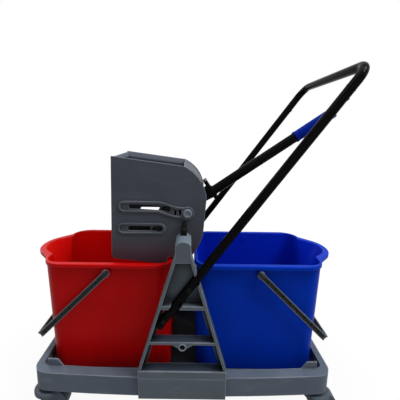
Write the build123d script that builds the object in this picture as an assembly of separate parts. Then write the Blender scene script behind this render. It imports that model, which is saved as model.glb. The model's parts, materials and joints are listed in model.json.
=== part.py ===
from build123d import *
import os
from math import cos, radians, sin, tan

# Mop wringer trolley in millimetres. The floor is Z 0, +X points to the end that is pushed,
# -Y is the side that the photograph shows, and the origin lies under the middle of the base.

# Running clearance between bodies that move, and the slip fit of pieces that stay together
clearance = 0.4
slip_fit = 0.1
# How far two shapes of one piece run into each other where they join
bite = 1

# Castors
wheel_diameter = 58
wheel_width = 22
tyre_thickness = 6
axle_diameter = 8
castor_trail = 18
castor_head_diameter = 72
castor_head_height = 12
hood_wall = 3.5
hood_gap = 2.5
hood_low_share = 0.75
head_over_hood = 3
wheel_hub_wall = 6
wheel_hub_proud = 1
wheel_face_inset = 1.5
wheel_dish_depth = 6
wheel_rim = 3
stem_diameter = 10
stem_grip = 8
socket_wall = 3.5
socket_depth = 38
socket_flange = 1.6
socket_rim = 4

# Base tray: a long open tray with hollow rails, bowed out towards the middle
base_length = 780
base_middle_width = 414
base_end_width = 384
base_corner_radius = 38
base_height = 54
base_wall = 4
side_rail_width = 30
end_rail_width = 17
pocket_corner_radius = 16
tray_depth = 34
skirt_to_castor = 8
castor_inset_x = 28
castor_inset_y = 43
boss_wall = 5
corner_lip_length = 42
corner_lip_slope = 14
corner_lip_rise = 20
floor_rib_count = 7
floor_rib_height = 12

# Towers: an A-shaped channel that stands on each side rail, with an apron over the rail's face
tower_depth = 31
tower_foot_width = 222
tower_foot_height = 26
tower_neck_width = 37
tower_neck_start = 334
tower_neck_length = 22
tower_arch_rise = 10
tower_wall = 7
tower_leg_width = 18
tower_web = 5
apron_thickness = 8
window_bar_height = 100
window_bar_thickness = 7
panel_bottom_height = 194
panel_bar_thickness = 10
eye_hole_diameter = 13
eye_wall = 4
eye_length = 9
eye_web = 26
head_depth = 72
head_height = 43
screw_diameter = 5
screw_length = 24
screw_head_diameter = 10
screw_head_height = 3
tower_screw_spacing = 150

# Push handle: two tube legs bolted in the towers and a bow plugged into them
tube_diameter = 22
tube_wall = 1.6
handle_angle = 54
handle_foot_x = -60
handle_foot_rise = 141
handle_reach = 765
handle_bend_radius = 42
handle_joint_drop = 62
spigot_length = 42
handle_bolt_diameter = 6
handle_bolt_head = 11
handle_bolt_first = 24
handle_bolt_second = 128
handle_bolt_cap = 2
handle_nut = 5
joint_screw_diameter = 4
joint_screw_head = 7
joint_screw_cap = 0.8

# Buckets: drafted walls, a hollow rolled rim and a broad pouring lip at the outer end
bucket_gap = 67
bucket_length = 334
bucket_width = 272
bucket_height = 312
bucket_inner_draft = 2.5
bucket_outer_draft = 6
bucket_side_draft = 6
bucket_corner_radius = 36
bucket_wall = 3
rim_inner_overhang = 6
rim_side_overhang = 12
rim_outer_overhang = 4
rim_corner_radius = 54
rim_height = 10
rim_wall = 2.2
rim_rounding = 2.5
lip_reach = 52
lip_width = 218
lip_height = 96
lip_tip_width = 110
lip_overhang = 12
lip_sink = 8
foot_ring_height = 4
foot_ring_width = 12

# Bails: a channelled plastic loop on two pegs under the rim
bail_place = 166
bail_pivot_drop = 22
bail_length = 259
bail_angle = 44.7
bail_strap = 15
bail_thickness = 7
bail_corner_radius = 24
bail_groove = 3
bail_edge = 2.5
bail_rib = 2
bail_rib_spacing = 28
bail_side_gap = 1
peg_diameter = 8
peg_length = 9
peg_boss_diameter = 20

# Wringer body: two slotted side plates, front wall, back cover and drain floor
wringer_width = 218
wringer_front = -192
wringer_front_lean = 6
wringer_top = 683
wringer_top_slope = 7
wringer_mouth_end = -3
wringer_shoulder_x = 37
wringer_shoulder_z = 628
wringer_back = 57
wringer_back_height = 580
wringer_back_lean = 7.5
wringer_back_length = 100
wringer_heel_x = 38
wringer_heel_z = 449
wringer_foot_x = 18
wringer_foot_z = 418
wringer_sump_start = -42
wringer_sump_end = -47
wringer_sump_z = 397
wringer_chin_z = 411
wringer_chin = 12
side_thickness = 4
wall_thickness = 3
wall_inset = 2
slot_rim = 3.6
slot_rim_width = 8
slot_bead = 4.5
slot_rim_tail = 18
slot_rim_bend = 30
slot_rim_lift = 2
peep_width = 6
peep_height = 14
peep_spacing = 12
peep_lift = 1
drain_slot_width = 6
drain_slot_pitch = 22
drain_slot_length = 78
drain_slot_columns = 9
boss_diameter = 34
boss_height = 4
pivot_x = 8.4
pivot_z = 538
pivot_bolt_diameter = 10
pivot_head_diameter = 24
pivot_head_height = 5
pivot_dimple = 1
pivot_bolt_reach = 30
post_diameter = 16
post_tip_diameter = 10
post_engagement = 44
post_inset = 53
post_rise = 10
post_tip_drop = 26
lever_slot_low = 498
lever_slot_high = 606
lever_slot_gap = 3

# Lever and crank
lever_rest_angle = 34.6
lever_swing = 46
lever_drop = 8
shaft_diameter = 20
shaft_end_gap = 1
hub_wall = 5
flange_radius = 74
flange_thickness = 11
flange_above = 32
flange_below = 25
flange_width = 54
arm_thickness = 5
arm_spacing = 28
arm_root_height = 24
arm_tip_height = 34
lever_tube_diameter = 27
lever_tube_wall = 2
lever_length = 478
grip_start = 355
grip_wall = 1.2
grip_ring_depth = 0.5
grip_ring_width = 2
grip_ring_place = 14
crank_thickness = 6
crank_end_wall = 5
crank_pin_diameter = 9
crank_side_gap = 3

# Press: lower rod with slide shoes and yokes, and the plate that tilts on it
press_travel = 72
press_tilt = 23.9
rod_diameter = 9
rod_spacing = 58.2
rod_reach = 1
lower_rod_x = -66
lower_rod_z = 495.5
rod_slot_height = 12.6
shoe_length = 19
shoe_depth = 5
yoke_thickness = 6
yoke_side_gap = 4
yoke_wall = 6
press_front = 20
press_thickness = 4
press_above = 122
press_below = 68
press_side_gap = 2
press_rib_depth = 9
press_rib_thickness = 4
press_rib_pitch = 46
press_slot_length = 70
bracket_thickness = 5
bracket_wall = 5
bracket_flare = 24

# Return spring round the shaft
spring_wire = 3
spring_turns = 5
spring_pitch = 4
spring_place = 26

# Heights and places that follow from the sizes above
wheel_radius = wheel_diameter / 2
fork_top = wheel_diameter + hood_gap + hood_wall + head_over_hood
boss_bottom = fork_top + clearance + socket_flange
base_bottom = boss_bottom + skirt_to_castor
rail_top = base_bottom + base_height
floor_top = rail_top - tray_depth
floor_bottom = floor_top - base_wall
pocket_x = base_length / 2 - end_rail_width
pocket_y = base_middle_width / 2 - side_rail_width
castor_x = base_length / 2 - castor_inset_x
castor_y = base_middle_width / 2 - castor_inset_y
tower_front = base_middle_width / 2 + apron_thickness
tower_back = tower_front - tower_depth
handle_y = tower_back + tower_web + tube_diameter / 2
rim_top = floor_top + clearance + bucket_height
bucket_inner_end = bucket_gap / 2
bucket_outer_end = bucket_inner_end + bucket_length
rim_half_width = bucket_width / 2 + rim_side_overhang
rim_outer_end = bucket_outer_end + rim_outer_overhang
bail_x = bucket_inner_end + bail_place
bail_z = rim_top - bail_pivot_drop
plate_outer = wringer_width / 2
plate_inner = plate_outer - side_thickness
press_half = plate_inner - press_side_gap
crank_outer = press_half - bracket_thickness - crank_side_gap
crank_inner = crank_outer - crank_thickness
yoke_outer = crank_inner - yoke_side_gap
yoke_inner = yoke_outer - yoke_thickness
crank_radius = press_travel / sin(radians(lever_swing))
rod_radius = rod_diameter / 2
shaft_radius = shaft_diameter / 2


def upright(sketch, low, high):
    """Extrude a sketch drawn in X and Z along +Y, from low to high."""
    plane = Plane(origin=(0, high, 0), x_dir=(1, 0, 0), z_dir=(0, -1, 0))
    return extrude(plane * sketch, high - low)


def level(sketch, low, high):
    """Extrude a plan sketch from height low to height high."""
    return extrude(Pos(0, 0, low) * sketch, high - low)


def cross_pin(x, z, diameter, low, high):
    """Round pin along Y."""
    return upright(Pos(x, z) * Circle(diameter / 2), low, high)


def outline(*points):
    return make_face(Polyline(*points, close=True))


def both_sides(near):
    """The near piece together with its mirror image on the far side."""
    return Compound(children=[near, mirror(near, about=Plane.XZ)])


def bowed_plan(half, end, middle, corner):
    """Long plan shape with rounded corners, whose sides bow out from the ends to the middle."""
    near = ThreePointArc((-half, -end), (0, -middle), (half, -end))
    far = ThreePointArc((half, end), (0, middle), (-half, end))
    ends = [Line((half, -end), (half, end)), Line((-half, end), (-half, -end))]
    face = make_face([near, ends[0], far, ends[1]])
    return fillet(face.vertices(), corner)


def base_plan():
    return bowed_plan(base_length / 2, base_end_width / 2, base_middle_width / 2, base_corner_radius)


def pocket_plan():
    return bowed_plan(pocket_x, base_end_width / 2 - side_rail_width, pocket_y, pocket_corner_radius)


def corner_lips(band):
    """Raised lips on the inner edges of the side rails at the +X corners, sloped down inwards."""
    outer = pocket_x - pocket_corner_radius
    inner = outer - corner_lip_length
    top = rail_top + corner_lip_rise
    profile = outline((inner, rail_top - bite), (outer, rail_top - bite), (outer, top),
                      (inner + corner_lip_slope, top), (inner, rail_top))
    return level(band, rail_top - bite, top) & upright(profile, -pocket_y - base_wall, pocket_y + base_wall)


def make_base():
    plan = base_plan()
    inside = offset(plan, -base_wall)
    pocket = pocket_plan()
    pocket_wall = offset(pocket, base_wall)
    tray = level(plan, base_bottom, rail_top) - level(pocket, floor_top, rail_top)
    tray -= level(inside, base_bottom, floor_bottom)
    tray -= level(inside - pocket_wall, floor_bottom, rail_top - base_wall)
    lips = corner_lips(pocket_wall - pocket)
    tray = tray + lips + mirror(lips, about=Plane.YZ)
    rib_span = 2 * pocket_x - 4 * corner_lip_length
    for index in range(floor_rib_count):
        x = rib_span * (index / (floor_rib_count - 1) - 0.5)
        rib = Pos(x, 0) * Rectangle(base_wall, 2 * pocket_y)
        tray += level(rib, floor_bottom - floor_rib_height, floor_bottom)
    socket_radius = stem_diameter / 2 + clearance / 2 + socket_wall
    boss_top = boss_bottom + socket_depth + base_wall
    quarter = [(side_x, side_y) for side_x in (-1, 1) for side_y in (-1, 1)]
    for side_x, side_y in quarter:
        boss = Pos(side_x * castor_x, side_y * castor_y) * Circle(socket_radius + boss_wall)
        bore = Pos(side_x * castor_x, side_y * castor_y) * Circle(socket_radius + slip_fit)
        tray += level(boss, boss_bottom, boss_top)
        tray -= level(bore, boss_bottom, boss_bottom + socket_depth + slip_fit)
    screw_hole = Circle(screw_diameter / 2 + slip_fit)
    for x in tower_screw_places():
        for side in (-1, 1):
            tray -= level(Pos(x, side * tower_screw_y()) * screw_hole, rail_top - base_wall, rail_top)
    return tray


def tower_screw_places():
    return (-tower_screw_spacing / 2, tower_screw_spacing / 2)


def tower_screw_y():
    return (base_middle_width - side_rail_width) / 2


def make_castor():
    """Stem, fork, axle, wheel and tyre of one castor, swivel axis on Z, trailing to +X."""
    axle_x = castor_trail
    cheek_half = wheel_width / 2 + hood_gap + hood_wall
    hood_radius = wheel_radius + hood_gap + hood_wall
    head_low = fork_top - castor_head_height
    head_radius = castor_head_diameter / 2
    head = level(Circle(head_radius), head_low, fork_top)
    head = fillet(head.edges().group_by(Axis.Z)[-1], castor_head_height / 2)
    cover = Pos(axle_x, wheel_radius) * Circle(hood_radius)
    brow = hood_radius * cos(radians(45))
    neck = outline((-head_radius / 2, head_low + bite), (head_radius / 2, fork_top - 2 * bite),
                   (axle_x + brow, wheel_radius + brow), (axle_x, wheel_radius))
    hood = upright(cover + neck, -cheek_half, cheek_half)
    below = Rectangle(4 * wheel_diameter, 4 * wheel_diameter)
    hood -= level(below, -wheel_radius, wheel_radius * hood_low_share)
    well = upright(Pos(axle_x, wheel_radius) * Circle(wheel_radius + hood_gap),
                   -wheel_width / 2 - hood_gap, wheel_width / 2 + hood_gap)
    fork = head + hood - well
    fork -= cross_pin(axle_x, wheel_radius, axle_diameter + 2 * slip_fit, -cheek_half, cheek_half)
    stem_low = fork_top - stem_grip
    stem_top = boss_bottom + socket_depth - clearance
    fork -= level(Circle(stem_diameter / 2 + slip_fit), stem_low, fork_top)
    stem = level(Circle(stem_diameter / 2), stem_low, stem_top)
    stem = chamfer(stem.edges().group_by(Axis.Z)[-1], stem_diameter / 8)
    axle = cross_pin(axle_x, wheel_radius, axle_diameter, -cheek_half, cheek_half)
    half = wheel_width / 2
    bead = wheel_radius - tyre_thickness
    hub_radius = axle_diameter / 2 + wheel_hub_wall
    face = half - wheel_face_inset
    hub = half + wheel_hub_proud
    wheel = cross_pin(axle_x, wheel_radius, 2 * bead, -face, face)
    ring = Pos(axle_x, wheel_radius) * (Circle(bead - wheel_rim) - Circle(hub_radius))
    dish = upright(ring, half - wheel_dish_depth, half)
    wheel = wheel - dish - mirror(dish, about=Plane.XZ)
    wheel += cross_pin(axle_x, wheel_radius, 2 * hub_radius, -hub, hub)
    wheel -= cross_pin(axle_x, wheel_radius, axle_diameter + clearance, -hub, hub)
    band = Circle(wheel_radius) - Circle(bead + slip_fit)
    tyre = upright(Pos(axle_x, wheel_radius) * band, -half, half)
    tyre = fillet(tyre.edges().filter_by(GeomType.CIRCLE).group_by(SortBy.RADIUS)[-1], tyre_thickness * 0.6)
    return {"stem": stem, "fork": fork, "axle": axle, "wheel": wheel, "tyre": tyre}


def make_socket():
    radius = stem_diameter / 2 + clearance / 2
    outer = radius + socket_wall
    sleeve = level(Circle(outer), boss_bottom, boss_bottom + socket_depth)
    sleeve += level(Circle(outer + socket_rim), boss_bottom - socket_flange, boss_bottom)
    return sleeve - level(Circle(radius), boss_bottom - socket_flange, boss_bottom + socket_depth)


def handle_plane():
    """Plane of the handle: local x runs up the legs, local y is Y."""
    angle = radians(handle_angle)
    foot = (handle_foot_x, 0, rail_top + handle_foot_rise)
    return Plane(origin=foot, x_dir=(cos(angle), 0, sin(angle)), z_dir=(-sin(angle), 0, cos(angle)))


def leg_rod(side, radius, start, end):
    """Round bar along a handle leg, from start to end measured up from its foot."""
    frame = handle_plane()
    section = Plane(origin=frame.from_local_coords((start, side * handle_y, 0)), z_dir=frame.x_dir)
    return extrude(section * Circle(radius), end - start)


def leg_notch():
    """Channel for the near leg, open towards -Y."""
    frame = handle_plane()
    start = frame.from_local_coords((-clearance, -handle_y, 0))
    section = Plane(origin=start, x_dir=(0, 1, 0), z_dir=frame.x_dir)
    width = tube_diameter + 2 * slip_fit
    shape = Circle(width / 2) + Pos(-width / 2, 0) * Rectangle(width, width)
    return extrude(section * shape, handle_reach / 2)


def leg_point(distance):
    angle = radians(handle_angle)
    return (handle_foot_x + distance * cos(angle), rail_top + handle_foot_rise + distance * sin(angle))


def make_handle():
    radius = tube_diameter / 2
    joint = handle_reach - handle_joint_drop
    leg = leg_rod(-1, radius, 0, joint) - leg_rod(-1, radius - tube_wall, 0, joint)
    front = -handle_y - radius
    bolts = []
    for distance in (handle_bolt_first, handle_bolt_second):
        x, z = leg_point(distance)
        leg -= cross_pin(x, z, handle_bolt_diameter + 2 * slip_fit, front, front + tube_diameter)
        bolt = cross_pin(x, z, handle_bolt_diameter, front - bite, -tower_back + handle_nut + bite)
        bolt += cross_pin(x, z, handle_bolt_head, front - handle_bolt_cap, front)
        nut = Pos(x, z) * RegularPolygon(handle_bolt_head / 2, 6)
        bolt += upright(nut, -tower_back, -tower_back + handle_nut)
        bolts.append(bolt)
    frame = handle_plane()
    path = frame * FilletPolyline((joint, -handle_y), (handle_reach, -handle_y),
                                  (handle_reach, handle_y), (joint, handle_y), radius=handle_bend_radius)
    section = Plane(origin=path @ 0, z_dir=path % 0)
    bow = sweep(section * Circle(radius), path) - sweep(section * Circle(radius - tube_wall), path)
    spigot_radius = radius - tube_wall - slip_fit
    plug = leg_rod(-1, spigot_radius, joint - spigot_length, joint + handle_joint_drop - handle_bend_radius)
    plug += leg_rod(-1, radius - tube_wall / 2, joint, joint + handle_joint_drop - handle_bend_radius)
    plug -= leg_rod(-1, spigot_radius - tube_wall, joint - spigot_length, joint + handle_joint_drop)
    screw_place = Plane(origin=frame.from_local_coords((joint - spigot_length / 2, -handle_y, -radius)),
                        z_dir=-frame.z_dir)
    hole = extrude(screw_place * Circle(joint_screw_diameter / 2 + slip_fit), -radius)
    leg -= hole
    plug -= hole
    bow = bow + plug + mirror(plug, about=Plane.XZ)
    screw = extrude(screw_place * Circle(joint_screw_diameter / 2), -radius)
    screw += extrude(screw_place * Circle(joint_screw_head / 2), joint_screw_cap)
    near_bolts = Compound(children=bolts)
    return leg, bow, near_bolts, screw


def tower_edge(z):
    """Half width of the tower at height z above the rail."""
    share = (z - tower_foot_height) / (tower_neck_start - tower_foot_height)
    return tower_foot_width / 2 + share * (tower_neck_width - tower_foot_width) / 2


def tower_face(low, high, inset):
    """Part of the tower's A shape between two heights, inset from its sloping edges."""
    left_low = tower_edge(low) - inset
    left_high = tower_edge(high) - inset
    return outline((-left_low, rail_top + low), (left_low, rail_top + low),
                   (left_high, rail_top + high), (-left_high, rail_top + high))


def make_tower():
    """The near tower, with its open channel towards -Y."""
    front = -tower_front
    back = -tower_back
    neck_top = tower_neck_start + tower_neck_length
    neck = tower_arch(rail_top + neck_top, tower_neck_length)
    legs = tower_face(tower_foot_height, tower_neck_start, 0)
    panel_top = tower_neck_start - head_height + tower_neck_length
    rim_inside = tower_face(tower_foot_height, panel_top, tower_wall)
    tower = upright(legs + neck, front, back)
    tower -= upright(rim_inside, front, back - tower_web)
    bars = ((tower_foot_height, window_bar_height),
            (window_bar_height + window_bar_thickness, panel_bottom_height))
    for low, high in bars:
        window = fillet(tower_face(low, high, tower_leg_width).vertices(), tower_wall / 2)
        tower -= upright(window, front, back)
    rungs = ((window_bar_height, window_bar_thickness), (panel_bottom_height, panel_bar_thickness))
    for low, thickness in rungs:
        tower += upright(tower_face(low, low + thickness, tower_wall / 2), front, back)
    eye_z = rail_top + window_bar_height - eye_hole_diameter / 2
    eye_radius = eye_hole_diameter / 2 + eye_wall
    bar_z = rail_top + window_bar_height
    gusset = outline((-eye_web, bar_z), (eye_web, bar_z), (eye_radius * 0.8, eye_z - eye_radius * 0.4),
                     (-eye_radius * 0.8, eye_z - eye_radius * 0.4))
    tower += upright(gusset + Pos(0, eye_z) * Circle(eye_radius), front, front + eye_length)
    tower -= cross_pin(0, eye_z, eye_hole_diameter, front, front + eye_length)
    foot = Rectangle(tower_foot_width, tower_foot_height + base_height)
    apron = upright(Pos(0, (base_bottom + rail_top + tower_foot_height) / 2) * foot, front, back)
    tower += apron - base_slit()
    tower += tower_head()
    tower -= leg_notch()
    for distance in (handle_bolt_first, handle_bolt_second):
        x, z = leg_point(distance)
        tower -= cross_pin(x, z, handle_bolt_diameter + 2 * slip_fit, back - tower_web, back)
    for x in tower_screw_places():
        hole = Pos(x, -tower_screw_y()) * Circle(screw_diameter / 2 + slip_fit)
        tower -= level(hole, rail_top, rail_top + screw_length)
    return tower


def base_slit():
    """Thin space that keeps the apron clear of the bowed rail, and open behind the rail's face."""
    plan = offset(base_plan(), slip_fit)
    return level(plan, base_bottom, rail_top)


def tower_head():
    """Arched block with the post's socket, carried back on a sloped bracket."""
    front = -tower_front
    head_back = front + head_depth
    top = rail_top + tower_neck_start + tower_neck_length
    low = top - head_height
    half = tower_neck_width / 2
    drop = head_depth - tower_depth
    side = outline((front, low), (-tower_back - tower_web, low), (-tower_back - tower_web, low - drop),
                   (-tower_back, low - drop), (head_back, low),
                   (head_back, top + half), (front, top + half))
    block = extrude(Plane(origin=(-half, 0, 0), x_dir=(0, 1, 0), z_dir=(1, 0, 0)) * side, tower_neck_width)
    block = block & upright(tower_arch(top, 2 * head_depth), front, head_back)
    bore = Pos(0, post_y()) * Circle(post_diameter / 2 + clearance / 2)
    return block - level(bore, post_bottom() - clearance, top + 2 * half)


def tower_arch(spring, below):
    """Shallow arch on top of the neck, with a straight part below its spring line."""
    half = tower_neck_width / 2
    crown = ThreePointArc((-half, spring), (0, spring + tower_arch_rise), (half, spring))
    low = spring - below - bite
    sides = Polyline((half, spring), (half, low), (-half, low), (-half, spring))
    return make_face([crown, *sides.edges()])


def post_bottom():
    return rail_top + tower_neck_start + tower_neck_length + tower_arch_rise - post_engagement


def post_y():
    return -tower_front + post_inset


def make_tower_screw():
    seat = rail_top - base_wall
    shank = level(Circle(screw_diameter / 2), seat, rail_top + screw_length - slip_fit)
    return shank + level(Circle(screw_head_diameter / 2), seat - screw_head_height, seat)


def bucket_section(share, wall):
    """Plan of the blue bucket's body, at a share of its height from the bottom."""
    inner = bucket_inner_end + bucket_inner_draft * (1 - share) + wall
    outer = bucket_outer_end - bucket_outer_draft * (1 - share) - wall
    half = bucket_width / 2 - bucket_side_draft * (1 - share) - wall
    plan = RectangleRounded(outer - inner, 2 * half, bucket_corner_radius - wall)
    return Pos((inner + outer) / 2, 0) * plan


def bowl(wall, low):
    bottom = Pos(0, 0, low) * bucket_section(0, wall)
    top = Pos(0, 0, rim_top) * bucket_section(1, wall)
    return loft([bottom, top])


def lip_plan(inset):
    """Pointed pouring lip in plan, closed inside the bucket."""
    half = lip_width / 2 - inset
    root = rim_outer_end - inset
    back = bucket_outer_end - bucket_corner_radius
    start = root - lip_sink
    side = [(start, -half), (root + 0.4 * lip_reach, -0.68 * half), (root + 0.8 * lip_reach, -0.42 * half)]
    points = side + [(root + lip_reach, 0)] + [(x, -y) for x, y in reversed(side)]
    inside = Polyline((start, half), (back, half), (back, -half), (start, -half))
    return make_face([Spline(*points), *inside.edges()])


def lip_body(wall):
    """Lip that grows out of the end wall up to the rim."""
    half = lip_tip_width / 2 - wall
    root = bucket_outer_end - bucket_outer_draft * lip_height / bucket_height - wall
    back = bucket_outer_end - bucket_corner_radius
    tip = ThreePointArc((root, -half), (root + bucket_wall, 0), (root, half))
    low = make_face([tip, *Polyline((root, half), (back, half), (back, -half), (root, -half)).edges()])
    top = Pos(0, 0, rim_top) * lip_plan(lip_overhang + wall)
    return loft([Pos(0, 0, rim_top - lip_height) * low, top])


def rim_plan(inset):
    inner = bucket_inner_end - rim_inner_overhang + inset
    outer = rim_outer_end - inset
    half = rim_half_width - inset
    loop = RectangleRounded(outer - inner, 2 * half, rim_corner_radius - inset)
    return Pos((inner + outer) / 2, 0) * loop + lip_plan(inset)


def make_bucket():
    """The blue bucket, at the pushed end."""
    low = rim_top - bucket_height
    skin = bowl(0, low) + lip_body(0)
    rim = level(rim_plan(0), rim_top - rim_height, rim_top)
    rim = fillet(rim.edges().group_by(Axis.Z)[-1], rim_rounding)
    rim -= level(rim_plan(rim_wall), rim_top - rim_height, rim_top - rim_wall)
    for side in (-1, 1):
        ends = sorted((side * bucket_width / 2 - side * bucket_side_draft, side * rim_half_width))
        skin += cross_pin(bail_x, bail_z, peg_boss_diameter, *ends)
    bucket = skin + rim
    bucket -= bowl(bucket_wall, low + foot_ring_height + bucket_wall)
    bucket -= lip_body(bucket_wall)
    foot = offset(bucket_section(0, 0), -foot_ring_width)
    bucket -= level(foot, low, low + foot_ring_height)
    bore = peg_diameter + 2 * clearance
    for side in (-1, 1):
        ends = sorted((side * (rim_half_width - peg_length), side * rim_half_width))
        bucket -= cross_pin(bail_x, bail_z, bore, *ends)
    return bucket


def bail_loop(inset):
    """U shape of the bail in its own plane, inset from the outer edge; x runs from the pivots."""
    half = rim_half_width + bail_side_gap + bail_thickness - inset
    length = bail_length + bail_thickness / 2 - inset
    face = Pos(length / 2, 0) * Rectangle(length, 2 * half)
    corners = face.vertices().group_by(Axis.X)[-1]
    return fillet(corners, bail_corner_radius - inset)


def make_bail():
    """The blue bucket's bail, hanging on the outer side."""
    angle = radians(bail_angle)
    plane = Plane(origin=(bail_x, 0, bail_z), x_dir=(cos(angle), 0, -sin(angle)),
                  z_dir=(sin(angle), 0, cos(angle)))
    half_strap = bail_strap / 2
    strap = level(bail_loop(0) - bail_loop(bail_thickness), -half_strap, half_strap)
    groove = level(bail_loop(0) - bail_loop(bail_groove), bail_edge - half_strap, half_strap - bail_edge)
    half = rim_half_width + bail_side_gap + bail_thickness
    arm_ribs = int(bail_length / bail_rib_spacing)
    for index in range(1, arm_ribs):
        groove -= Pos(index * bail_rib_spacing, 0, 0) * Box(bail_rib, 2 * half, bail_strap)
    bar_ribs = int(half / bail_rib_spacing)
    for index in range(-bar_ribs, bar_ribs + 1):
        rib = Box(3 * bail_thickness, bail_rib, bail_strap)
        groove -= Pos(bail_length, index * bail_rib_spacing, 0) * rib
    groove -= Box(peg_boss_diameter, 2 * half, bail_strap)
    loop = plane * (strap - groove)
    inner = rim_half_width + bail_side_gap
    for side in (-1, 1):
        ends = sorted((side * inner, side * half))
        loop += cross_pin(bail_x, bail_z, peg_boss_diameter, *ends)
        ends = sorted((side * (rim_half_width - peg_length + clearance), side * half))
        loop += cross_pin(bail_x, bail_z, peg_diameter, *ends)
    return loop


def wringer_outline():
    """Side view of the wringer, in X and Z."""
    mouth_z = wringer_top - (wringer_mouth_end - wringer_front) * tan(radians(wringer_top_slope))
    back_low = (wringer_back - wringer_back_lean, wringer_back_height - wringer_back_length)
    foot = (wringer_foot_x, wringer_foot_z)
    shoulder = ThreePointArc((wringer_mouth_end, mouth_z), (wringer_shoulder_x, wringer_shoulder_z),
                             (wringer_back, wringer_back_height))
    heel = ThreePointArc(back_low, (wringer_heel_x, wringer_heel_z), foot)
    brow = (wringer_front + wringer_front_lean, wringer_top)
    upper = Polyline(brow, (wringer_mouth_end, mouth_z))
    chin_low = (wringer_front + wringer_chin, wringer_chin_z)
    chin_high = (wringer_front, wringer_chin_z + wringer_chin)
    bulge = wringer_chin * (1 - cos(radians(45)))
    chin = ThreePointArc(chin_low, (wringer_front + bulge, wringer_chin_z + bulge), chin_high)
    sump = [(wringer_sump_start, wringer_foot_z), (wringer_sump_end, wringer_sump_z)]
    lower = Polyline(foot, *sump, chin_low)
    sides = [Line((wringer_back, wringer_back_height), back_low), Line(chin_high, brow)]
    return make_face([*upper.edges(), shoulder, sides[0], heel, *lower.edges(), chin, sides[1]])


def upper_rod_at(share):
    """Place of the upper rod when the press has gone a share of its way."""
    tilt = radians(press_tilt * (1 - share))
    x = lower_rod_x - press_travel * share + rod_spacing * sin(tilt)
    return (x, lower_rod_z + rod_spacing * cos(tilt))


def upper_slot():
    path = ThreePointArc(upper_rod_at(0), upper_rod_at(0.5), upper_rod_at(1))
    return SlotArc(path, rod_slot_height)


def lower_slot(grow, tail):
    length = press_travel + shoe_length + 2 * grow + tail
    middle = lower_rod_x - press_travel / 2 - tail / 2
    return Pos(middle, lower_rod_z) * SlotOverall(length, rod_slot_height + 2 * grow)


def upper_rim():
    """Raised band round the upper slot, that steps down to the pivot boss."""
    end_x, end_z = upper_rod_at(1)
    landing = (pivot_x - slot_rim_bend, pivot_z + slot_rim_lift)
    path = FilletPolyline((end_x - slot_rim_tail, end_z), (lower_rod_x, end_z), landing,
                          (pivot_x, pivot_z), radius=slot_rim_bend)
    return make_face(offset(Wire(path.edges()), rod_slot_height / 2 + slot_rim_width))


def make_side():
    """The near side plate with its raised slots and pivot boss."""
    side = upright(wringer_outline(), -plate_outer, -plate_inner)
    for band in (upper_rim(), lower_slot(slot_rim_width, slot_rim_tail)):
        bead = band - offset(band, -slot_bead)
        side += upright(bead, -plate_outer - slot_rim, -plate_outer)
    side += cross_pin(pivot_x, pivot_z, boss_diameter, -plate_outer - boss_height, -plate_outer)
    holes = upper_slot() + lower_slot(0, 0)
    peep_x = pivot_x - boss_diameter / 2 - peep_width / 2
    for index in (0, 1):
        peep = Rectangle(peep_width, peep_height)
        holes += Pos(peep_x - index * peep_spacing, pivot_z + peep_lift) * peep
    side -= upright(holes, -plate_outer - slot_rim, -plate_inner)
    bore = pivot_bolt_diameter + 2 * slip_fit
    return side - cross_pin(pivot_x, pivot_z, bore, -plate_outer - boss_height, -plate_inner)


def post_neck():
    """Tapered neck that leans from the post's pin in to the side plate, under the pivot boss."""
    foot = Vector(0, post_y(), post_bottom() + post_engagement + post_rise)
    tip = Vector(0, -plate_inner, pivot_z - post_tip_drop)
    along = tip - foot
    start = Plane(origin=foot, z_dir=along) * Circle(post_diameter / 2)
    end = Plane(origin=tip, z_dir=along) * Circle(post_tip_diameter / 2)
    beyond = upright(Pos(0, tip.Z) * Circle(post_diameter), -plate_outer - slip_fit, 0)
    return loft([start, end]) - beyond


def make_post():
    top = post_bottom() + post_engagement + post_rise
    pin = level(Pos(0, post_y()) * Circle(post_diameter / 2), post_bottom(), top)
    pin = chamfer(pin.edges().group_by(Axis.Z)[0], post_diameter / 8)
    knee = Pos(0, post_y(), top) * Sphere(post_diameter / 2)
    return pin + knee + post_neck()


def make_pivot_bolt():
    face = -plate_outer - boss_height
    shank = cross_pin(pivot_x, pivot_z, pivot_bolt_diameter, face, -plate_inner + pivot_bolt_reach)
    head = cross_pin(pivot_x, pivot_z, pivot_head_diameter, face - pivot_head_height, face)
    head = fillet(head.edges().group_by(Axis.Y)[0], pivot_head_height / 3)
    crown = face - pivot_head_height
    return shank + head - cross_pin(pivot_x, pivot_z, pivot_head_diameter / 2, crown, crown + pivot_dimple)


def between_plates(sketch):
    return upright(sketch, -plate_inner, plate_inner)


def drain_columns():
    first = -(drain_slot_columns - 1) / 2
    return [(first + index) * drain_slot_pitch for index in range(drain_slot_columns)]


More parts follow.
